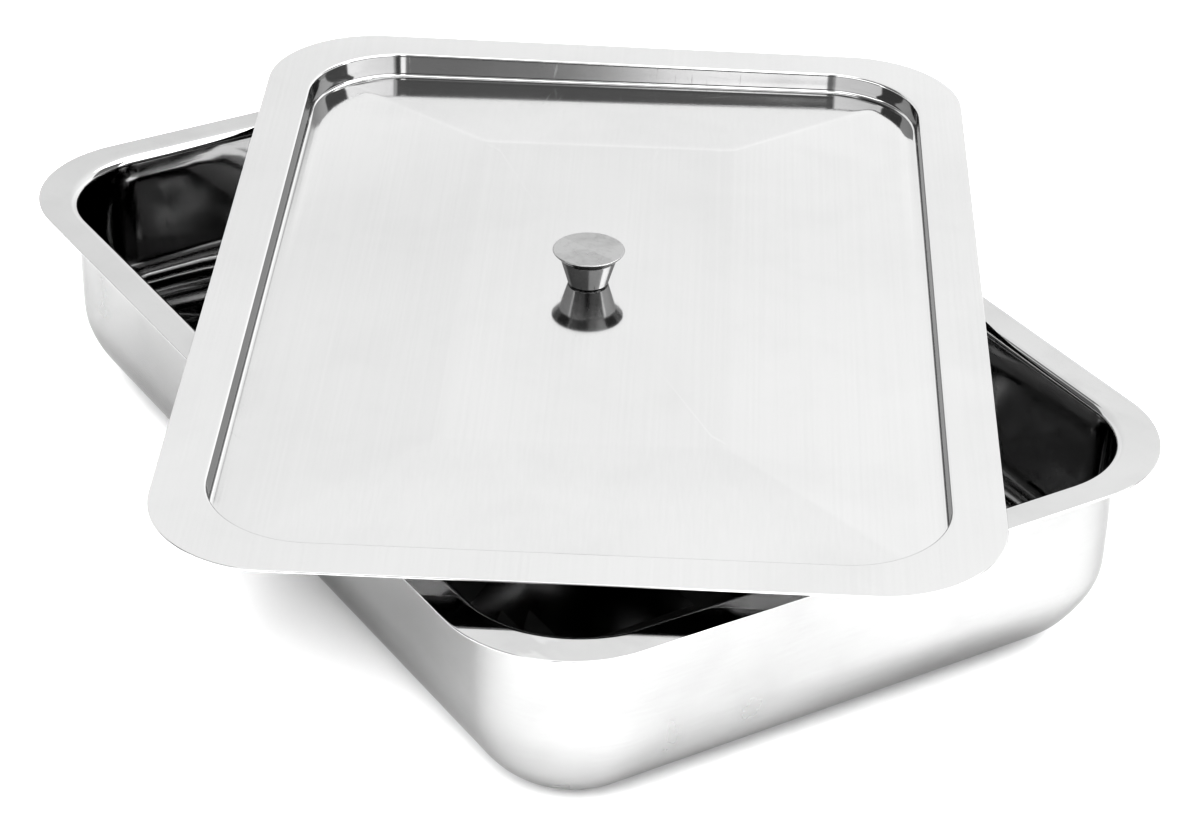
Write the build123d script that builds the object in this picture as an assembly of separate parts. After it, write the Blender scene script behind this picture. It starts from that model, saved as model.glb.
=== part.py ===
from build123d import *
import math
import os

os.makedirs("parts", exist_ok=True)

# Instrument tray: a deep-drawn pan and a loose lid with a turned knob, in millimetres.
# The origin is the centre of the pan's flat base, on the surface it stands on.
# +X runs along the pan's long side and +Z points up.

# Sheet steel that the pan and the lid are pressed from
SHEET = 0.7
EDGE_ROUND = 0.25

# Pan. The opening is measured between the inner faces of its walls, at the height of the rim.
OPENING_LENGTH = 306.0
OPENING_WIDTH = 204.2
PAN_HEIGHT = 65.2
PAN_DRAFT = 1.2
PAN_WALL_CORNER = 31.6
PAN_BASE_RADIUS = 29.0
PAN_FLANGE = 11.0
PAN_RIM_CORNER = 37.6
PAN_FOLD_RADIUS = 3.0

# Lid. The flange runs in to the recess's walls, at the height of the rim.
LID_LENGTH = 330.0
LID_WIDTH = 230.0
LID_CORNER = 35.9
LID_FLANGE = 14.6
RECESS_CORNER = 30.0
RECESS_DEPTH = 7.0
RECESS_DRAFT = 4.0
RECESS_BASE_RADIUS = 1.0
LID_FOLD_RADIUS = 0.9

# The lid's panel rises in four slopes from a narrow flat border to a level top.
BORDER = 2.3
PANEL_RISE = 5.4
PANEL_TOP_LENGTH = 185.0
PANEL_TOP_WIDTH = 80.0
PANEL_TOP_CORNER = 4.0

# Knob, an inverted cone under a bevelled flat head
KNOB_HEIGHT = 11.2
KNOB_HEAD_DIAMETER = 21.6
KNOB_BEVEL_HEIGHT = 2.7
KNOB_CONE_DIAMETER = 17.0
KNOB_BASE_DIAMETER = 12.2
KNOB_BASE_CHAMFER = 0.4
KNOB_OFFSET = -2.9

# M4 screw and its washers, under the lid
SCREW_DIAMETER = 4.0
SCREW_LENGTH = 8.0
SCREW_HEAD_DIAMETER = 8.0
SCREW_HEAD_HEIGHT = 2.4
SLOT_WIDTH = 1.2
SLOT_DEPTH = 1.1
THREAD_CLEARANCE = 0.05
KNOB_HOLE_DEPTH = 6.5
LID_HOLE_DIAMETER = 4.6
WASHER_DIAMETER = 9.0
WASHER_BORE = 4.3
WASHER_THICKNESS = 0.8
LOCK_WASHER_DIAMETER = 7.6
LOCK_WASHER_BORE = 4.2
LOCK_WASHER_THICKNESS = 1.0
LOCK_WASHER_GAP = 0.9

# The lid lies askew across the pan's rim, turned about the vertical.
LID_TURN = -33.75
LID_X = 1.1
LID_Y = 9.3
REST_GAP = 0.1
TURNING_GAP = 0.05


def block(length, width, corner, low, high):
    """A rounded rectangle, extruded between two heights."""
    return Pos(0, 0, low) * extrude(RectangleRounded(length, width, corner), high - low)


def drafted(length, width, corner, low, high, draft):
    """A rounded rectangle that narrows downwards by an angle. Its size is the one at its top."""
    lean = (high - low) * math.tan(math.radians(draft))
    foot = RectangleRounded(length - 2 * lean, width - 2 * lean, corner - lean)
    return Pos(0, 0, low) * extrude(foot, high - low, taper=-draft)


def level_edges(solid, height, length, width):
    """The edges at one height whose ends stay within a length and width."""
    def chosen(edge):
        box = edge.bounding_box()
        level = abs(box.min.Z - height) < 0.01 and abs(box.max.Z - height) < 0.01
        reach_x = max(abs(box.min.X), abs(box.max.X))
        reach_y = max(abs(box.min.Y), abs(box.max.Y))
        return level and reach_x < length / 2 + 0.05 and reach_y < width / 2 + 0.05
    return solid.edges().filter_by(chosen)


def flanged_dish(length, width, corner, draft, base_radius, flange, rim_corner, height, fold):
    """A dish of one sheet with a flat rim, whose sizes are those of its hollow at the rim."""
    outer_length = length + 2 * SHEET
    outer_width = width + 2 * SHEET
    rim_length = length + 2 * flange
    rim_width = width + 2 * flange
    shell = drafted(outer_length, outer_width, corner + SHEET, 0, height, draft)
    shell = fillet(level_edges(shell, 0, outer_length, outer_width), base_radius + SHEET)
    shell += block(rim_length, rim_width, rim_corner, height - SHEET, height)
    under_rim = level_edges(shell, height - SHEET, outer_length, outer_width)
    shell = fillet(under_rim, fold - SHEET)
    hollow = drafted(length, width, corner, SHEET, height, draft)
    hollow = fillet(level_edges(hollow, SHEET, length, width), base_radius)
    dish = shell - hollow
    dish = fillet(level_edges(dish, height, length, width), fold)
    for level in (height, height - SHEET):
        inside = level_edges(dish, level, rim_length - 2, rim_width - 2)
        rim_edges = [e for e in level_edges(dish, level, rim_length, rim_width) if e not in inside]
        dish = fillet(rim_edges, EDGE_ROUND)
    return dish


def raised_panel(low):
    """The four slopes and the level top of the lid's panel, as a solid from one height."""
    foot_length = LID_LENGTH - 2 * (LID_FLANGE + BORDER)
    foot_width = LID_WIDTH - 2 * (LID_FLANGE + BORDER)
    foot = RectangleRounded(foot_length, foot_width, RECESS_CORNER - BORDER)
    top = RectangleRounded(PANEL_TOP_LENGTH, PANEL_TOP_WIDTH, PANEL_TOP_CORNER)
    return loft([Pos(0, 0, low) * foot, Pos(0, 0, low + PANEL_RISE) * top], ruled=True)


def tray_pan():
    return flanged_dish(OPENING_LENGTH, OPENING_WIDTH, PAN_WALL_CORNER, PAN_DRAFT,
                        PAN_BASE_RADIUS, PAN_FLANGE, PAN_RIM_CORNER, PAN_HEIGHT, PAN_FOLD_RADIUS)


def lid_panel():
    length = LID_LENGTH - 2 * LID_FLANGE
    width = LID_WIDTH - 2 * LID_FLANGE
    lid = flanged_dish(length, width, RECESS_CORNER, RECESS_DRAFT, RECESS_BASE_RADIUS,
                       LID_FLANGE, LID_CORNER, RECESS_DEPTH + SHEET, LID_FOLD_RADIUS)
    lid = lid + raised_panel(SHEET) - raised_panel(0)
    return lid - Pos(0, KNOB_OFFSET, PANEL_RISE) * Cylinder(LID_HOLE_DIAMETER / 2, 4 * SHEET)


def lid_knob():
    """The knob, standing on z = 0 with its axis on Z."""
    base = KNOB_BASE_DIAMETER / 2
    profile = Polyline(
        (0, 0),
        (base - KNOB_BASE_CHAMFER, 0),
        (base, KNOB_BASE_CHAMFER),
        (KNOB_CONE_DIAMETER / 2, KNOB_HEIGHT - KNOB_BEVEL_HEIGHT),
        (KNOB_HEAD_DIAMETER / 2, KNOB_HEIGHT - EDGE_ROUND),
        (KNOB_HEAD_DIAMETER / 2 - EDGE_ROUND, KNOB_HEIGHT),
        (0, KNOB_HEIGHT),
        close=True,
    )
    knob = revolve(Plane.XZ * make_face(profile), Axis.Z)
    hole = Cylinder(SCREW_DIAMETER / 2 + THREAD_CLEARANCE, 2 * KNOB_HOLE_DEPTH)
    return knob - hole


def ring(diameter, bore, thickness):
    """A washer whose top face is at z = 0."""
    washer = Cylinder(diameter / 2, thickness) - Cylinder(bore / 2, 2 * thickness)
    return Pos(0, 0, -thickness / 2) * washer


def lock_washer():
    gap = Box(LOCK_WASHER_DIAMETER, LOCK_WASHER_GAP, 4 * LOCK_WASHER_THICKNESS)
    return ring(LOCK_WASHER_DIAMETER, LOCK_WASHER_BORE, LOCK_WASHER_THICKNESS) - (
        Pos(LOCK_WASHER_DIAMETER / 2, 0, 0) * gap
    )


def knob_screw():
    """A slotted pan-head screw, with the underside of its head at z = 0."""
    head = Pos(0, 0, -SCREW_HEAD_HEIGHT / 2) * Cylinder(SCREW_HEAD_DIAMETER / 2, SCREW_HEAD_HEIGHT)
    head = fillet(head.edges().group_by(Axis.Z)[0], SCREW_HEAD_HEIGHT / 2)
    slot = Box(2 * SCREW_HEAD_DIAMETER, SLOT_WIDTH, 2 * SLOT_DEPTH)
    shank = Pos(0, 0, SCREW_LENGTH / 2) * Cylinder(SCREW_DIAMETER / 2, SCREW_LENGTH)
    shank = chamfer(shank.edges().group_by(Axis.Z)[-1], SCREW_DIAMETER / 8)
    return head + shank - Pos(0, 0, -SCREW_HEAD_HEIGHT) * slot


# Heights of the stack on the lid's level top, above the underside of the lid
PANEL_TOP = PANEL_RISE + SHEET
WASHER_FACE = PANEL_RISE - TURNING_GAP
LOCK_WASHER_FACE = WASHER_FACE - WASHER_THICKNESS
SCREW_FACE = LOCK_WASHER_FACE - LOCK_WASHER_THICKNESS

lid_place = Pos(LID_X, LID_Y, PAN_HEIGHT + REST_GAP) * Rot(0, 0, LID_TURN)
knob_place = lid_place * Pos(0, KNOB_OFFSET, 0)

nodes = {
    "tray_pan": tray_pan(),
    "lid_panel": lid_place * lid_panel(),
    "lid_knob": knob_place * Pos(0, 0, PANEL_TOP + TURNING_GAP) * lid_knob(),
    "flat_washer": knob_place * Pos(0, 0, WASHER_FACE)
    * ring(WASHER_DIAMETER, WASHER_BORE, WASHER_THICKNESS),
    "lock_washer": knob_place * Pos(0, 0, LOCK_WASHER_FACE) * lock_washer(),
    "knob_screw": knob_place * Pos(0, 0, SCREW_FACE) * knob_screw(),
}
for name, solid in nodes.items():
    solid.label = name
    export_step(solid, f"parts/{name}.step")
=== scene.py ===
import math

import bpy
from mathutils import Matrix, Vector, noise


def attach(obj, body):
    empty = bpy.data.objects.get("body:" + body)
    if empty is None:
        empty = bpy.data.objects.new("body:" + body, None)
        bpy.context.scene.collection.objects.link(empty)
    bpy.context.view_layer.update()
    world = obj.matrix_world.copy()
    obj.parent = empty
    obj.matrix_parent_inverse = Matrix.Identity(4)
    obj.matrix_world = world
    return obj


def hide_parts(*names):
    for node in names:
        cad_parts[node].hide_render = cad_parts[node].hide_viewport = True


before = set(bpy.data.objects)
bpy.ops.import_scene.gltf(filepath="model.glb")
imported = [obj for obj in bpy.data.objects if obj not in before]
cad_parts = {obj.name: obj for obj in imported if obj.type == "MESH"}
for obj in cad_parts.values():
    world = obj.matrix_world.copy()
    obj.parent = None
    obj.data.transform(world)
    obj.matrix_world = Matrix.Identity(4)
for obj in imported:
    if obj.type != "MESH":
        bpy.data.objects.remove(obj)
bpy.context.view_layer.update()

# Sizes of the object, in millimetres. Everything is scaled to metres when a mesh is made.
MM = 0.001
SHEET = 0.7
EDGE_ROUND = 0.25
SUPPORT = 0.2

OPENING_LENGTH = 306.0
OPENING_WIDTH = 204.2
PAN_HEIGHT = 65.2
PAN_DRAFT = 1.2
PAN_WALL_CORNER = 31.6
PAN_BASE_RADIUS = 29.0
PAN_FLANGE = 11.0
PAN_RIM_CORNER = 37.6
PAN_FOLD_RADIUS = 3.0

LID_LENGTH = 330.0
LID_WIDTH = 230.0
LID_CORNER = 35.9
LID_FLANGE = 14.6
RECESS_CORNER = 30.0
RECESS_DEPTH = 7.0
RECESS_DRAFT = 4.0
RECESS_BASE_RADIUS = 1.0
LID_FOLD_RADIUS = 0.9
PANEL_RISE = 5.4
PANEL_TOP_LENGTH = 185.0
PANEL_TOP_WIDTH = 80.0
HOLE_RADIUS = 2.3
KNOB_OFFSET = -2.9

KNOB_HEIGHT = 11.2
KNOB_HEAD_RADIUS = 10.8
KNOB_BEVEL_HEIGHT = 2.7
KNOB_CONE_RADIUS = 8.5
KNOB_BASE_RADIUS = 6.1
KNOB_BASE_CHAMFER = 0.4
KNOB_HOLE_RADIUS = 2.05
KNOB_HOLE_DEPTH = 6.5

LID_TURN = -33.75
LID_X = 1.1
LID_Y = 9.3
REST_GAP = 0.1
TURNING_GAP = 0.05

# The studio. Bearings and elevations are in degrees, a bearing of 0 being where the camera stands
# and positive ones on its right. Light is in multiples of plain white.
CAMERA_AZIMUTH = 57.9
CAMERA_ELEVATION = 30.88
CAMERA_ROLL = 1.5
CAMERA_PLACE_M = (0.766, -0.4685, 0.5654)
CAMERA_LENS_MM = 102.9
CAMERA_SENSOR_MM = 36.0
BACK_LIGHT = 1.89
LOW_BACK_GAIN = 1.1
LOW_BACK_TOP = 25.0
HIGH_BACK_GAIN = 0.97
HIGH_BACK_FROM = 32.0
HIGH_BACK_FULL = 42.0
OVERHEAD_GAIN = 2.3
OVERHEAD_FROM = 72.0
OVERHEAD_SOFTNESS = 3.0
LOW_BACK_SOFTNESS = 0.6
SIDE_TILT = 0.17
FLOOR_LIGHT_POWER = 27.0
FLOOR_LIGHT_BEARING = -12.0
FLOOR_LIGHT_ELEVATION = 50.0
FLOOR_LIGHT_SIZE_M = 0.9
FLOOR_LIGHT_DISTANCE_M = 1.6
FLOOR_HALF_SIZE_M = 6.0
FLOOR_TONE = 0.9
ACROSS_SOFTNESS = 1.0
UPRIGHT_SOFTNESS = 0.8
STUDIO_PATCHES = (
    # Tall soft boxes on both sides of the camera, and dark openings beyond them
    dict(both_sides=True, bearing=46.0, half_width=33.0, low=-90.0, high=52.0, gain=1.8),
    dict(both_sides=True, bearing=98.0, half_width=20.0, low=14.0, high=44.0, gain=0.25),
    # A bright box over the camera, between two dark gaps
    dict(both_sides=False, bearing=0.3, half_width=3.3, low=25.3, high=52.0, gain=2.4),
    dict(both_sides=False, bearing=-6.2, half_width=3.2, low=25.3, high=52.0, gain=0.6),
    dict(both_sides=False, bearing=6.8, half_width=3.2, low=25.3, high=52.0, gain=0.25),
    # The dark room behind the camera, low down, and high on its left
    dict(both_sides=False, bearing=-1.5, half_width=9.5, low=-90.0, high=25.3, gain=0.35),
    dict(both_sides=True, bearing=0.0, half_width=70.0, low=-90.0, high=17.0, gain=0.25),
    dict(both_sides=False, bearing=-69.0, half_width=73.0, low=44.0, high=72.0, gain=0.38),
    # A bright panel high on the right, which the knob's side mirrors
    dict(both_sides=False, bearing=115.0, half_width=30.0, low=44.0, high=72.0, gain=2.9),
)
CONTRAST = 0.7

# Mesh density
CORNER_STEPS = 20
SIDE_STEPS = 14
LATHE_STEPS = 120
WALL_STEPS = 12

# Unevenness of the pressed sheets, in millimetres. The pan's waves grow and fade between heights.
WAVE_DEPTH = 1.1
WAVE_SPAN = 38.0
LONG_WAVE_DEPTH = 1.5 * WAVE_DEPTH
LONG_WAVE_SPAN = 4 * WAVE_SPAN
WALL_WAVES_START = 12
WALL_WAVES_FULL = 26
WALL_WAVES_FADE = 58
FLOOR_WAVE = 0.35
FLOOR_WAVES_FULL = 1
FLOOR_WAVES_END = 8
LID_WAVE_DEPTH = 0.12
LID_WAVE_SPAN = 80.0
RIM_TWIST = 1.0
CREASE_CORNER = 2.5

# How much of its glancing reflection the steel keeps, how much lighter its edges are, and how
# rough a scratch is for each micrometre of its depth
GRAZING_TONE = 0.6
EDGE_LIGHTENING = 0.1
SCRATCH_ROUGHNESS = 0.06


# ---------------------------------------------------------------- mesh tools

def rounded_loop(half_x, half_y, radius):
    """Points round a rounded rectangle, the same number for every size."""
    points = []
    corners = ((1, 1, 0), (-1, 1, 90), (-1, -1, 180), (1, -1, 270))
    turns = []
    for side_x, side_y, start in corners:
        centre = Vector((side_x * (half_x - radius), side_y * (half_y - radius)))
        turn = []
        for step in range(CORNER_STEPS + 1):
            angle = math.radians(start + 90 * step / CORNER_STEPS)
            turn.append(centre + radius * Vector((math.cos(angle), math.sin(angle))))
        turns.append(turn)
    for index, turn in enumerate(turns):
        points += turn
        following = turns[(index + 1) % len(turns)][0]
        for step in range(1, SIDE_STEPS):
            points.append(turn[-1].lerp(following, step / SIDE_STEPS))
    return points


def circle_loop(like, centre, radius):
    """A circle with one point for each point of another loop, in the same directions."""
    return [centre + radius * (point - centre).normalized() for point in like]


def at_height(loop, height):
    return [Vector((point.x, point.y, height)) for point in loop]


def skin(name, loops, closed=False):
    """A mesh of quads between loops. A closed one joins its last loop to its first."""
    count = len(loops[0])
    vertices = [tuple(MM * point) for loop in loops for point in loop]
    faces = []
    pairs = len(loops) if closed else len(loops) - 1
    for row in range(pairs):
        start = row * count
        following = ((row + 1) % len(loops)) * count
        for column in range(count):
            beside = (column + 1) % count
            faces.append((start + beside, following + beside, following + column, start + column))
    if not closed:
        faces.append(tuple(reversed(range(count))))
        faces.append(tuple(range((len(loops) - 1) * count, len(loops) * count)))
    mesh = bpy.data.meshes.new(name)
    mesh.from_pydata(vertices, [], faces)
    mesh.validate()
    piece = bpy.data.objects.new(name, mesh)
    bpy.context.scene.collection.objects.link(piece)
    return piece


def finish_mesh(piece):
    """Smooth shading whose normals follow the large flat faces."""
    for polygon in piece.data.polygons:
        polygon.use_smooth = True
    bpy.context.view_layer.objects.active = piece
    modifier = piece.modifiers.new("normals", "WEIGHTED_NORMAL")
    modifier.mode = "FACE_AREA_WITH_ANGLE"
    modifier.weight = 80
    modifier.keep_sharp = True
    bpy.ops.object.modifier_apply(modifier=modifier.name)


# ---------------------------------------------------------------- pressed sheet

def arc(centre, radius, first, last, steps):
    points = []
    for step in range(steps + 1):
        angle = math.radians(first + (last - first) * step / steps)
        points.append((centre[0] + radius * math.cos(angle), centre[1] + radius * math.sin(angle)))
    return points


def dish_profile(height, flange, fold, base, draft, depth_in):
    """(outward offset, height) from the rim's edge to the edge of the floor, on one face.

    The offset is from the upper face of the wall at the rim's height. depth_in is 0 for the
    upper face of the sheet and its thickness for the lower one.
    """
    edge_centre = height - EDGE_ROUND if depth_in == 0 else height - SHEET + EDGE_ROUND
    edge_end = 90 if depth_in == 0 else -90
    points = arc((flange - EDGE_ROUND, edge_centre), EDGE_ROUND, 0, edge_end, 4)

    lean = math.tan(math.radians(draft))
    tangent = math.tan(math.radians((90 - draft) / 2))
    fold_inside = fold - depth_in
    base_inside = base + depth_in
    floor = SHEET - depth_in
    fold_end = depth_in * (1 - lean) + fold_inside * tangent
    base_start = depth_in - (height - floor) * lean - base_inside * tangent

    flat_from = flange - EDGE_ROUND - SUPPORT
    flat_to = fold_end + SUPPORT
    for step in range(6):
        points.append((flat_from + (flat_to - flat_from) * step / 5, height - depth_in))
    fold_arc = arc((fold_end, height - fold), fold_inside, 90, 180 - draft, 12)
    base_steps = max(10, round(base / 1.2))
    base_arc = arc((base_start, floor + base_inside), base_inside, -draft, -90, base_steps)
    points += fold_arc
    for step in range(1, WALL_STEPS):
        share = step / WALL_STEPS
        points.append((fold_arc[-1][0] + (base_arc[0][0] - fold_arc[-1][0]) * share,
                       fold_arc[-1][1] + (base_arc[0][1] - fold_arc[-1][1]) * share))
    points += base_arc
    points.append((base_start - SUPPORT, floor))
    return points


def dish_loops(length, width, corner, rim_corner, flange, fold, profile):
    """Loops round a dish, one for each point of its profile."""
    loops = []
    for offset, height in profile:
        radius = corner + min(offset, fold)
        if offset > fold:
            radius += (rim_corner - radius) * (offset - fold) / (flange - fold)
        loop = rounded_loop(length / 2 + offset, width / 2 + offset, max(radius, 0.4))
        loops.append(at_height(loop, height))
    return loops


def pan_floor(rim, height):
    """Loops from the edge of the pan's floor towards its middle."""
    loops = []
    for share in (0.97, 0.9, 0.8, 0.7, 0.6, 0.5, 0.4, 0.3, 0.2, 0.1, 0.02):
        loops.append([Vector((point.x * share, point.y * share, height)) for point in rim])
    return loops


def ease(value, low, high):
    """0 below one value and 1 above another, with a smooth way between."""
    share = min(1, max(0, (value - low) / (high - low)))
    return share * share * (3 - 2 * share)


def shift_at(place):
    """A smooth shift that varies from place to place, the same on every run."""
    return Vector([noise.noise(place + away * Vector((1, 2, 3))) for away in (10, 20, 30)])


def drawn_waves(piece):
    """Shallow waves in the pan's walls and floor, as deep drawing leaves them."""
    for vertex in piece.data.vertices:
        height = vertex.co.z / MM
        in_wall = ease(height, WALL_WAVES_START, WALL_WAVES_FULL)
        in_wall *= 1 - ease(height, WALL_WAVES_FADE, PAN_HEIGHT - 2)
        in_floor = 1 - ease(height, FLOOR_WAVES_FULL, FLOOR_WAVES_END)
        broad = shift_at(vertex.co / (WAVE_SPAN * MM) + Vector((3, 6, 9)))
        long = shift_at(vertex.co / (LONG_WAVE_SPAN * MM) + Vector((5, 2, 4)))
        shift = WAVE_DEPTH * broad + LONG_WAVE_DEPTH * long
        vertex.co.x += MM * in_wall * shift.x
        vertex.co.y += MM * in_wall * shift.y
        vertex.co.z += MM * in_floor * FLOOR_WAVE * (0.5 + 0.5 * broad.z)


def make_pan():
    faces = []
    for depth_in in (0, SHEET):
        profile = dish_profile(PAN_HEIGHT, PAN_FLANGE, PAN_FOLD_RADIUS,
                               PAN_BASE_RADIUS, PAN_DRAFT, depth_in)
        loops = dish_loops(OPENING_LENGTH, OPENING_WIDTH, PAN_WALL_CORNER, PAN_RIM_CORNER,
                           PAN_FLANGE, PAN_FOLD_RADIUS, profile)
        faces.append(loops + pan_floor(loops[-1], SHEET - depth_in))
    upper, lower = faces
    pan = skin("pan", list(reversed(lower)) + upper)
    drawn_waves(pan)
    finish_mesh(pan)
    return pan


def soft_least(values, softness):
    least = min(values)
    total = sum(math.exp((least - value) / softness) for value in values)
    return least - softness * math.log(total)


def panel_height(x, y, foot_x, foot_y):
    """Height of the lid's panel above its foot: four slopes and a level top."""
    along = PANEL_RISE * (foot_x - abs(x)) / (foot_x - PANEL_TOP_LENGTH / 2)
    across = PANEL_RISE * (foot_y - abs(y)) / (foot_y - PANEL_TOP_WIDTH / 2)
    return max(0, soft_least((along, across, PANEL_RISE), 0.05))


def panel_loops(foot, level):
    """Loops over the lid's raised panel, from its foot to the hole for the screw."""
    foot_x = max(point.x for point in foot)
    foot_y = max(point.y for point in foot)
    foot_corner = RECESS_CORNER - 2 * RECESS_BASE_RADIUS
    shares = (0.01, 0.025, 0.045, 0.07, 0.1, 0.15, 0.22, 0.32, 0.44, 0.56, 0.68, 0.78, 0.86,
              0.92, 0.96, 0.985, 1.0, 1.015, 1.04, 1.08)
    loops = []
    for share in shares:
        half_x = foot_x + (PANEL_TOP_LENGTH / 2 - foot_x) * share
        half_y = foot_y + (PANEL_TOP_WIDTH / 2 - foot_y) * share
        corner = CREASE_CORNER + (foot_corner - CREASE_CORNER) * max(0, 1 - share) ** 4
        outline = rounded_loop(half_x, half_y, corner)
        loop = []
        for point in outline:
            height = ease(share, 0, 0.07) * panel_height(point.x, point.y, foot_x, foot_y)
            loop.append(Vector((point.x, point.y, level + height)))
        loops.append(loop)
    hole_centre = Vector((0, KNOB_OFFSET))
    hole = circle_loop(outline, hole_centre, HOLE_RADIUS)
    for share in (0.3, 0.6, 0.8, 0.93, 1.0):
        blended = [a.lerp(b, share) for a, b in zip(outline, hole)]
        loops.append(at_height(blended, level + PANEL_RISE))
    return loops


def twist_rim(loops):
    """Raises the rim and folds at one end of the lid on one side, and lowers them on the other."""
    for loop in loops:
        for point in loop:
            far_end = ease(-point.x, 0, LID_LENGTH / 2)
            sideways = -2 * point.y / LID_WIDTH
            point.z += RIM_TWIST * ease(point.z, 1.5, 6.5) * far_end * sideways


def lid_waves(piece):
    """Faint waves in the lid's panel."""
    for vertex in piece.data.vertices:
        x, y, height = vertex.co / MM
        from_edge = min(LID_LENGTH / 2 - abs(x), LID_WIDTH / 2 - abs(y))
        share = ease(from_edge, LID_FLANGE + 8, LID_FLANGE + 30) * ease(math.hypot(x, y), 12, 40)
        wave = noise.noise(vertex.co / (LID_WAVE_SPAN * MM) + Vector((7, 14, 21)))
        vertex.co.z += MM * LID_WAVE_DEPTH * share * wave


def make_lid(place):
    length = LID_LENGTH - 2 * LID_FLANGE
    width = LID_WIDTH - 2 * LID_FLANGE
    faces = []
    for depth_in in (0, SHEET):
        profile = dish_profile(RECESS_DEPTH + SHEET, LID_FLANGE, LID_FOLD_RADIUS,
                               RECESS_BASE_RADIUS, RECESS_DRAFT, depth_in)
        loops = dish_loops(length, width, RECESS_CORNER, LID_CORNER,
                           LID_FLANGE, LID_FOLD_RADIUS, profile)
        twist_rim(loops)
        faces.append(loops + panel_loops(loops[-1], SHEET - depth_in))
    upper, lower = faces
    lid = skin("lid", list(reversed(lower)) + upper, closed=True)
    lid_waves(lid)
    finish_mesh(lid)
    lid.data.transform(place)
    return lid


# ---------------------------------------------------------------- knob

def make_knob(place):
    """The turned knob, as a profile spun round its axis."""
    top_edge = KNOB_HEIGHT - EDGE_ROUND
    profile = [
        (0.02, KNOB_HOLE_DEPTH),
        (KNOB_HOLE_RADIUS, KNOB_HOLE_DEPTH),
        (KNOB_HOLE_RADIUS, 0.2),
        (KNOB_HOLE_RADIUS + 0.2, 0),
        (KNOB_BASE_RADIUS - KNOB_BASE_CHAMFER, 0),
        (KNOB_BASE_RADIUS, KNOB_BASE_CHAMFER),
        (KNOB_CONE_RADIUS, KNOB_HEIGHT - KNOB_BEVEL_HEIGHT),
        (KNOB_HEAD_RADIUS, top_edge),
        (KNOB_HEAD_RADIUS - EDGE_ROUND, KNOB_HEIGHT),
        (0.02, KNOB_HEIGHT),
    ]
    rounded = soften(profile, 0.12)
    loops = []
    for radius, height in rounded:
        loop = []
        for step in range(LATHE_STEPS):
            angle = 2 * math.pi * step / LATHE_STEPS
            loop.append(Vector((radius * math.cos(angle), radius * math.sin(angle), height)))
        loops.append(loop)
    knob = skin("knob", loops)
    finish_mesh(knob)
    knob.data.transform(place)
    return knob


def soften(profile, radius):
    """Rounds the corners of a profile with three points each."""
    points = [Vector(profile[0])]
    for before, corner, after in zip(profile, profile[1:], profile[2:]):
        corner = Vector(corner)
        back = Vector(before) - corner
        ahead = Vector(after) - corner
        reach = min(radius, back.length / 3, ahead.length / 3)
        start = corner + reach * back.normalized()
        end = corner + reach * ahead.normalized()
        middle = (start + end) / 4 + corner / 2
        points += [start, middle, end]
    points.append(Vector(profile[-1]))
    return points


# ---------------------------------------------------------------- shader tools

def node(tree, kind, **settings):
    made = tree.nodes.new(kind)
    for key, value in settings.items():
        setattr(made, key, value)
    return made


def connect(tree, source, socket):
    """Gives a socket a number, or links another socket to it."""
    if isinstance(source, (int, float)):
        socket.default_value = source
    else:
        tree.links.new(source, socket)


def calculated(tree, operation, first, second=0.0):
    made = node(tree, "ShaderNodeMath", operation=operation)
    connect(tree, first, made.inputs[0])
    connect(tree, second, made.inputs[1])
    return made.outputs["Value"]


def ranged(tree, value, low, high, to_low, to_high):
    """A value mapped from one range to another, and held at its ends."""
    mapped = node(tree, "ShaderNodeMapRange")
    connect(tree, value, mapped.inputs["Value"])
    connect(tree, low, mapped.inputs["From Min"])
    connect(tree, high, mapped.inputs["From Max"])
    connect(tree, to_low, mapped.inputs["To Min"])
    connect(tree, to_high, mapped.inputs["To Max"])
    return mapped.outputs["Result"]


def turned_about_z(tree, vector, degrees):
    rotation = node(tree, "ShaderNodeVectorRotate", rotation_type="Z_AXIS")
    rotation.inputs["Angle"].default_value = math.radians(degrees)
    tree.links.new(vector, rotation.inputs["Vector"])
    return rotation.outputs["Vector"]


def noise_map(tree, vector, stretch, scale=1.0, detail=3.0, distortion=0.0):
    """Noise over coordinates that are stretched first."""
    mapping = node(tree, "ShaderNodeMapping")
    mapping.inputs["Scale"].default_value = stretch
    tree.links.new(vector, mapping.inputs["Vector"])
    texture = node(tree, "ShaderNodeTexNoise")
    texture.inputs["Scale"].default_value = scale
    texture.inputs["Detail"].default_value = detail
    texture.inputs["Distortion"].default_value = distortion
    tree.links.new(mapping.outputs["Vector"], texture.inputs["Vector"])
    return texture.outputs["Fac"]


# ---------------------------------------------------------------- materials

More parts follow.
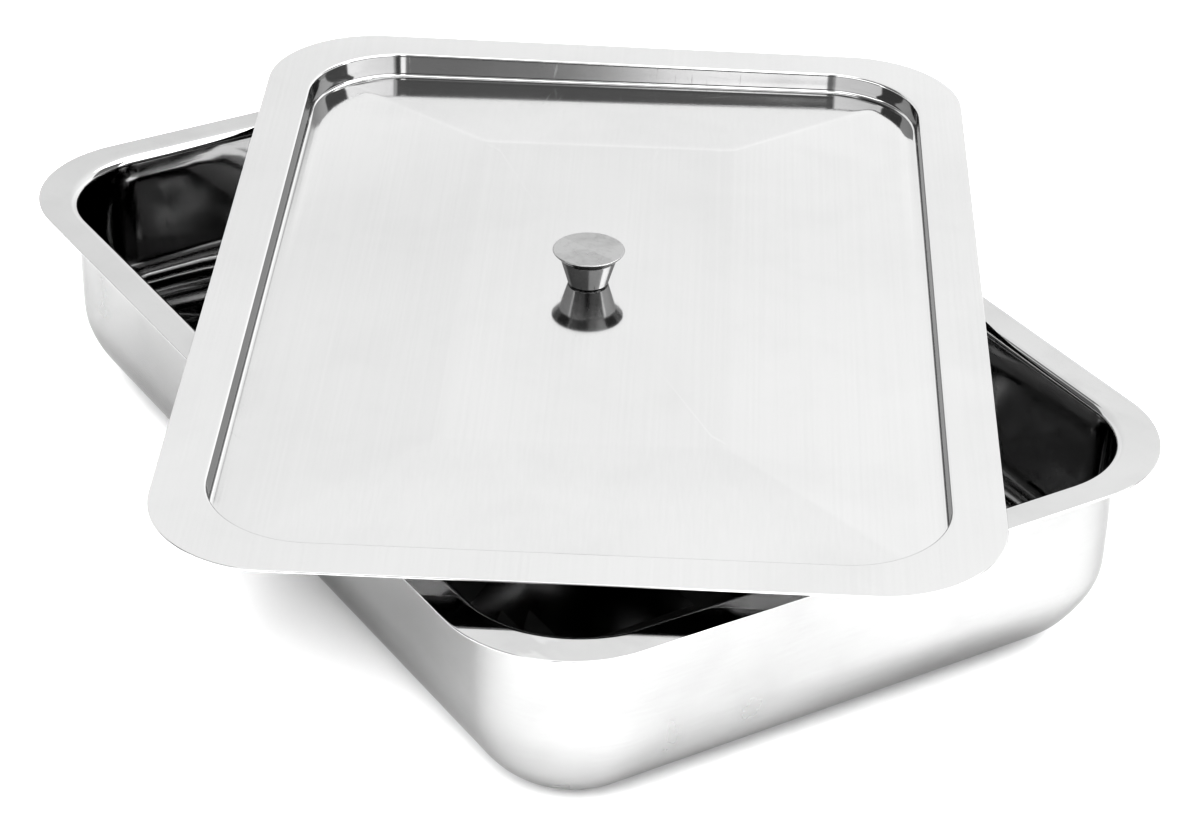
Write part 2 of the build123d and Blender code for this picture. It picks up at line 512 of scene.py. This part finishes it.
def steel(name, tone, roughness, grain, turn=0.0, cloud=18.0, grain_tone=0.03, cloud_tone=0.05,
          grain_depth=0.6, ripple_depth=0.0, scratch_depth=1.5):
    """Stainless steel with grain lines, cloudy polish, hairline scratches and worn edges.

    grain is how finely noise varies along each axis, per metre. Depths are in micrometres.
    """
    material = bpy.data.materials.new(name)
    material.use_nodes = True
    tree = material.node_tree
    shader = tree.nodes["Principled BSDF"]
    shader.inputs["Metallic"].default_value = 1.0
    shader.inputs["Specular Tint"].default_value = (GRAZING_TONE, GRAZING_TONE, GRAZING_TONE, 1)
    place = turned_about_z(tree, node(tree, "ShaderNodeTexCoord").outputs["Object"], turn)

    lines = noise_map(tree, place, grain, detail=4.0)
    clouds = noise_map(tree, place, (1, 1, 1), scale=cloud, detail=5.0, distortion=0.6)
    smudges = noise_map(tree, place, (1, 1, 1), scale=2.5 * cloud, detail=5.0, distortion=0.3)
    ripples = noise_map(tree, place, (1, 1, 1), scale=2.0 * cloud, detail=1.0)
    scratches = scratch_lines(tree, place)
    edges = ranged(tree, node(tree, "ShaderNodeNewGeometry").outputs["Pointiness"], 0.53, 0.62, 0.0, 1.0)

    polish = ranged(tree, clouds, 0.3, 0.7, roughness[0], roughness[1])
    smear = ranged(tree, smudges, 0.5, 0.8, 0.0, 0.3 * roughness[1])
    polish = calculated(tree, "ADD", polish, smear)
    scratched = calculated(tree, "MULTIPLY", scratches, SCRATCH_ROUGHNESS * scratch_depth)
    polish = calculated(tree, "ADD", polish, scratched)
    tree.links.new(polish, shader.inputs["Roughness"])

    shade = ranged(tree, lines, 0.3, 0.7, 1 - grain_tone, 1.0)
    shade = calculated(tree, "MULTIPLY", shade, ranged(tree, clouds, 0.3, 0.7, 1 - cloud_tone, 1.0))
    shade = calculated(tree, "MULTIPLY", shade, ranged(tree, smudges, 0.5, 0.8, 1.0, 1 - cloud_tone))
    shade = calculated(tree, "ADD", shade, calculated(tree, "MULTIPLY", edges, EDGE_LIGHTENING))
    colour = node(tree, "ShaderNodeMix", data_type="RGBA")
    colour.inputs["A"].default_value = (0, 0, 0, 1)
    colour.inputs["B"].default_value = (*tone, 1)
    tree.links.new(shade, colour.inputs["Factor"])
    tree.links.new(colour.outputs["Result"], shader.inputs["Base Color"])

    height = calculated(tree, "MULTIPLY", lines, grain_depth)
    height = calculated(tree, "ADD", height, calculated(tree, "MULTIPLY", ripples, ripple_depth))
    height = calculated(tree, "SUBTRACT", height, calculated(tree, "MULTIPLY", scratches, scratch_depth))
    bump = node(tree, "ShaderNodeBump")
    bump.inputs["Strength"].default_value = 1.0
    bump.inputs["Distance"].default_value = 1e-6
    tree.links.new(height, bump.inputs["Height"])
    tree.links.new(bump.outputs["Normal"], shader.inputs["Normal"])
    return material


def scratch_lines(tree, place):
    """Sparse hairlines in three directions."""
    total = 0.0
    for direction in (12, 75, 140):
        turned = turned_about_z(tree, place, direction)
        streaks = noise_map(tree, turned, (28, 1500, 60), detail=1.0)
        where = noise_map(tree, turned, (1, 1, 1), scale=22.0 + direction, detail=2.0)
        hairlines = ranged(tree, streaks, 0.70, 0.76, 0.0, 1.0)
        hairlines = calculated(tree, "MULTIPLY", hairlines, ranged(tree, where, 0.5, 0.62, 0.0, 1.0))
        total = calculated(tree, "ADD", hairlines, total)
    return total


def wear(piece, *materials):
    piece.data.materials.clear()
    for material in materials:
        piece.data.materials.append(material)


def satin_outside(pan):
    """Gives the second material to the pan's outer face, which is polished less than its inside."""
    for polygon in pan.data.polygons:
        centre = polygon.center / MM
        from_middle = Vector((centre.x / OPENING_LENGTH, centre.y / OPENING_WIDTH, 0))
        outward = from_middle.dot(polygon.normal) > 0
        below_rim = centre.z < PAN_HEIGHT - SHEET - 0.01
        under_base = polygon.normal.z < -0.5
        polygon.material_index = 1 if under_base or (outward and below_rim) else 0


def satin_top(knob):
    """Gives the second material to the knob's flat top."""
    for polygon in knob.data.polygons:
        polygon.material_index = 1 if polygon.normal.z > 0.7 else 0


# ---------------------------------------------------------------- stage

def make_floor():
    size = FLOOR_HALF_SIZE_M
    mesh = bpy.data.meshes.new("floor")
    corners = [(-size, -size, 0), (size, -size, 0), (size, size, 0), (-size, size, 0)]
    mesh.from_pydata(corners, [], [(0, 1, 2, 3)])
    floor = bpy.data.objects.new("floor", mesh)
    bpy.context.scene.collection.objects.link(floor)
    material = bpy.data.materials.new("pale_floor")
    material.use_nodes = True
    shader = material.node_tree.nodes["Principled BSDF"]
    shader.inputs["Base Color"].default_value = (FLOOR_TONE, FLOOR_TONE, FLOOR_TONE, 1)
    shader.inputs["Roughness"].default_value = 0.9
    wear(floor, material)


def band(tree, value, middle, half_width, soft):
    """1 inside a band of values and 0 outside it, with soft edges."""
    distance = calculated(tree, "ABSOLUTE", calculated(tree, "SUBTRACT", value, middle))
    return ranged(tree, distance, half_width - soft, half_width + soft, 1.0, 0.0)


def gained(tree, light, where, gain):
    """Light multiplied by a gain where a mask is 1."""
    return calculated(tree, "MULTIPLY", light, ranged(tree, where, 0, 1, 1.0, gain))


def patched(tree, light, bearing, elevation, patch):
    """Light changed by a patch's gain, between its bearings and its elevations."""
    middle = (patch["low"] + patch["high"]) / 2
    half_height = (patch["high"] - patch["low"]) / 2
    across = band(tree, bearing, patch["bearing"], patch["half_width"], ACROSS_SOFTNESS)
    upright = band(tree, elevation, middle, half_height, UPRIGHT_SOFTNESS)
    return gained(tree, light, calculated(tree, "MULTIPLY", across, upright), patch["gain"])


def make_world():
    """A white studio: a bright sweep behind, soft boxes beside the camera and dark gaps between."""
    world = bpy.data.worlds.new("studio")
    bpy.context.scene.world = world
    world.use_nodes = True
    tree = world.node_tree
    direction = node(tree, "ShaderNodeTexCoord").outputs["Generated"]
    parts = node(tree, "ShaderNodeSeparateXYZ")
    tree.links.new(turned_about_z(tree, direction, 90 - CAMERA_AZIMUTH), parts.inputs["Vector"])
    towards, beside, up = parts.outputs
    bearing = calculated(tree, "MULTIPLY", calculated(tree, "ARCTAN2", beside, towards), 180 / math.pi)
    round_about = calculated(tree, "ABSOLUTE", bearing)
    elevation = calculated(tree, "MULTIPLY", calculated(tree, "ARCSINE", up), 180 / math.pi)

    light = ranged(tree, beside, -1, 1,
                   BACK_LIGHT * (1 - SIDE_TILT), BACK_LIGHT * (1 + SIDE_TILT))
    low = ranged(tree, elevation, LOW_BACK_TOP - LOW_BACK_SOFTNESS,
                 LOW_BACK_TOP + LOW_BACK_SOFTNESS, 1.0, 0.0)
    light = gained(tree, light, low, LOW_BACK_GAIN)
    high = ranged(tree, elevation, HIGH_BACK_FROM, HIGH_BACK_FULL, 0.0, 1.0)
    light = gained(tree, light, high, HIGH_BACK_GAIN)
    overhead = ranged(tree, elevation, OVERHEAD_FROM - OVERHEAD_SOFTNESS,
                      OVERHEAD_FROM + OVERHEAD_SOFTNESS, 0.0, 1.0)
    light = gained(tree, light, overhead, OVERHEAD_GAIN)
    for patch in STUDIO_PATCHES:
        across = round_about if patch["both_sides"] else bearing
        light = patched(tree, light, across, elevation, patch)
    background = tree.nodes["Background"]
    background.inputs["Color"].default_value = (1, 1, 1, 1)
    tree.links.new(light, background.inputs["Strength"])


def seen_from(bearing, elevation):
    """The direction of a place that is at a bearing from the camera's and at an elevation."""
    azimuth = math.radians(CAMERA_AZIMUTH + bearing)
    height = math.radians(elevation)
    level = math.cos(height)
    return Vector((math.sin(azimuth) * level, -math.cos(azimuth) * level, math.sin(height)))


def make_floor_light():
    """A soft light on the floor from the camera's side, which the steel doesn't mirror."""
    data = bpy.data.lights.new("floor_light", "AREA")
    data.shape = "SQUARE"
    data.size = FLOOR_LIGHT_SIZE_M
    data.energy = FLOOR_LIGHT_POWER
    light = bpy.data.objects.new("floor_light", data)
    bpy.context.scene.collection.objects.link(light)
    back = seen_from(FLOOR_LIGHT_BEARING, FLOOR_LIGHT_ELEVATION)
    facing = back.to_track_quat("Z", "Y").to_matrix().to_4x4()
    light.matrix_world = Matrix.Translation(FLOOR_LIGHT_DISTANCE_M * back) @ facing
    light.visible_camera = False
    light.visible_glossy = False


def make_camera():
    """The camera looks down at the object, with a slight roll."""
    back = seen_from(0, CAMERA_ELEVATION)
    level = seen_from(90, 0)
    upright = back.cross(level)
    roll = math.radians(CAMERA_ROLL)
    right = math.cos(roll) * level + math.sin(roll) * upright
    up = back.cross(right)
    data = bpy.data.cameras.new("camera")
    data.sensor_width = CAMERA_SENSOR_MM
    data.lens = CAMERA_LENS_MM
    camera = bpy.data.objects.new("camera", data)
    bpy.context.scene.collection.objects.link(camera)
    place = Matrix((right, up, back)).transposed().to_4x4()
    place.translation = Vector(CAMERA_PLACE_M)
    camera.matrix_world = place
    bpy.context.scene.camera = camera


# ---------------------------------------------------------------- assembly

def main():
    make_camera()
    make_floor()
    make_world()
    make_floor_light()
    bpy.context.scene.view_settings.view_transform = "Standard"
    bpy.context.scene.view_settings.gamma = CONTRAST

    lid_foot = Vector((LID_X, LID_Y, PAN_HEIGHT + REST_GAP)) * MM
    lid_place = Matrix.Translation(lid_foot) @ Matrix.Rotation(math.radians(LID_TURN), 4, "Z")
    knob_foot = Vector((0, KNOB_OFFSET, PANEL_RISE + SHEET + TURNING_GAP)) * MM
    knob_place = lid_place @ Matrix.Translation(knob_foot)

    pan = make_pan()
    lid = make_lid(lid_place)
    knob = make_knob(knob_place)

    inside = steel("pan_mirror_polish", (0.46, 0.46, 0.46), (0.045, 0.08), (60, 60, 900),
                   cloud=22.0, ripple_depth=25.0)
    outside = steel("pan_satin_polish", (0.41, 0.41, 0.41), (0.17, 0.25), (90, 90, 1400),
                    cloud=16.0, cloud_tone=0.06, grain_depth=1.5, scratch_depth=0.0)
    lid_steel = steel("lid_polish", (0.50, 0.50, 0.50), (0.06, 0.10), (9, 1100, 1100), turn=-LID_TURN,
                      cloud=14.0, grain_tone=0.015, cloud_tone=0.025)
    turned_side = steel("knob_turned_side", (0.37, 0.37, 0.37), (0.10, 0.17), (500, 500, 3000),
                        cloud=160.0, grain_depth=2.0)
    turned_top = steel("knob_satin_top", (0.37, 0.37, 0.37), (0.26, 0.36), (1200, 1200, 1200),
                       cloud=220.0, cloud_tone=0.12, grain_depth=3.0)
    fastener_steel = steel("fastener_satin", (0.45, 0.45, 0.45), (0.2, 0.3), (900, 900, 900),
                           cloud=300.0, grain_depth=3.0)

    for piece, body, replaced, materials, slot in (
        (pan, "tray", "tray_pan", (inside, outside), "pan_steel"),
        (lid, "lid", "lid_panel", (lid_steel,), "lid_steel"),
        (knob, "knob", "lid_knob", (turned_side, turned_top), "knob_steel"),
    ):
        wear(piece, *materials)
        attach(piece, body)
        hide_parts(replaced)
    satin_outside(pan)
    satin_top(knob)
    for name in ("flat_washer", "lock_washer", "knob_screw"):
        wear(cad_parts[name], fastener_steel)


main()
